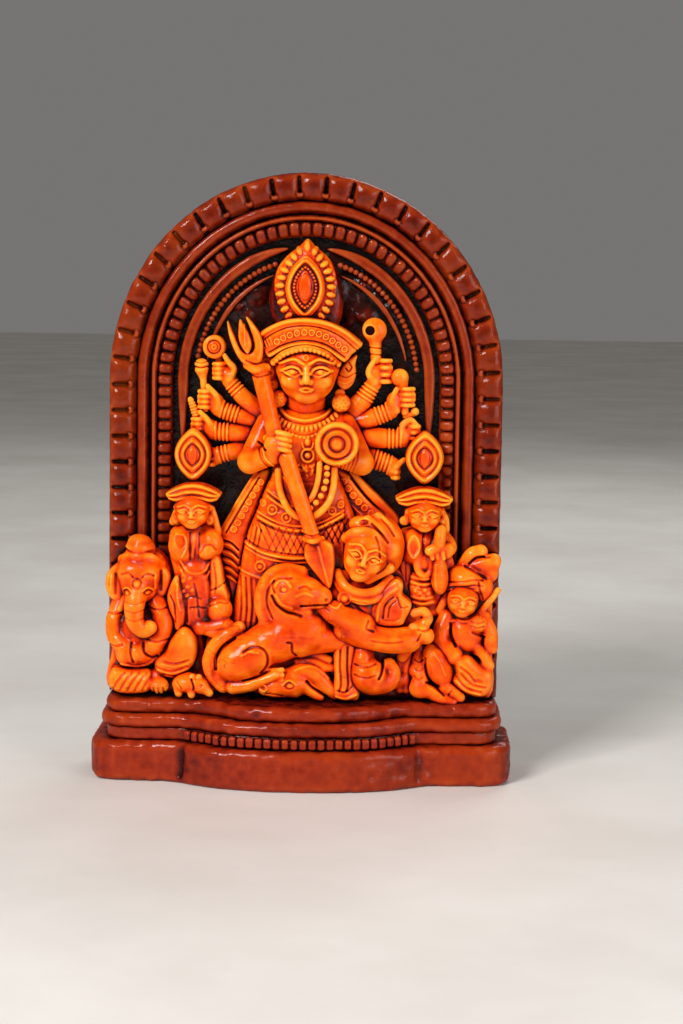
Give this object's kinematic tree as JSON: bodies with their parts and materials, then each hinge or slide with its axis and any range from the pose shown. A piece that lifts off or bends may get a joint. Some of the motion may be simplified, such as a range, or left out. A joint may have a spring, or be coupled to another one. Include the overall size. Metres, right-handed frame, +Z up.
{
  "type": "relief deity statuette",
  "caption": "Glazed relief statuette of a many-armed goddess with lion, demon and attendants, set in a round-headed beaded niche on a stepped plinth.",
  "frame": {"origin": "middle of the plinth's underside", "axes": "+Z up to the top of the arch, the relief faces -Y, +X to the viewer's right"},
  "size_m": [0.142, 0.05, 0.203],
  "materials": {
    "figure_glaze": "varnished orange paint with maroon shading in the recesses, on fired clay",
    "arch_glaze": "varnished brown-red paint on fired clay",
    "plinth_glaze": "varnished brown-red paint on fired clay",
    "niche_glaze": "varnished near-black paint on fired clay"
  },
  "bodies": {
    "root": {"arch_bead_border": "arch_glaze", "arch_block_border": "arch_glaze", "arch_inner_roll": "arch_glaze", "arch_outer_roll": "arch_glaze", "back_panel": "niche_glaze", "buffalo": "figure_glaze", "crown_band": "figure_glaze", "crown_plume": "figure_glaze", "deity_head": "figure_glaze", "deity_torso": "figure_glaze", "demon_arm": "figure_glaze", "demon_head": "figure_glaze", "demon_knee": "figure_glaze", "demon_leg_drape": "figure_glaze", "demon_plate": "figure_glaze", "demon_torso": "figure_glaze", "ganesha_body": "figure_glaze", "ganesha_head": "figure_glaze", "garland": "figure_glaze", "held_conch": "figure_glaze", "held_disc": "figure_glaze", "held_lotus": "figure_glaze", "held_mace": "figure_glaze", "held_noose": "figure_glaze", "kartikeya": "figure_glaze", "kartikeya_turban": "figure_glaze", "lakshmi": "figure_glaze", "lakshmi_crown": "figure_glaze", "left_ear_ornament": "figure_glaze", "left_main_arm": "figure_glaze", "left_rear_arm_1": "figure_glaze", "left_rear_arm_2": "figure_glaze", "left_rear_arm_3": "figure_glaze", "left_rear_arm_4": "figure_glaze", "left_sash": "figure_glaze", "lion": "figure_glaze", "mouse": "figure_glaze", "niche_bead_string": "arch_glaze", "niche_fillet": "arch_glaze", "niche_frame_band": "arch_glaze", "peacock": "figure_glaze", "plinth_base_tier": "plinth_glaze", "plinth_bead_course": "plinth_glaze", "plinth_bead_string": "plinth_glaze", "plinth_roll_tier": "plinth_glaze", "plinth_top_ledge": "plinth_glaze", "right_ear_ornament": "figure_glaze", "right_main_arm": "figure_glaze", "right_rear_arm_1": "figure_glaze", "right_rear_arm_2": "figure_glaze", "right_rear_arm_3": "figure_glaze", "right_rear_arm_4": "figure_glaze", "right_sash": "figure_glaze", "saraswati": "figure_glaze", "saraswati_crown": "figure_glaze", "shield": "figure_glaze", "skirt": "figure_glaze", "spear": "figure_glaze", "trident": "figure_glaze", "veena": "figure_glaze"}
  },
  "joints": []
}
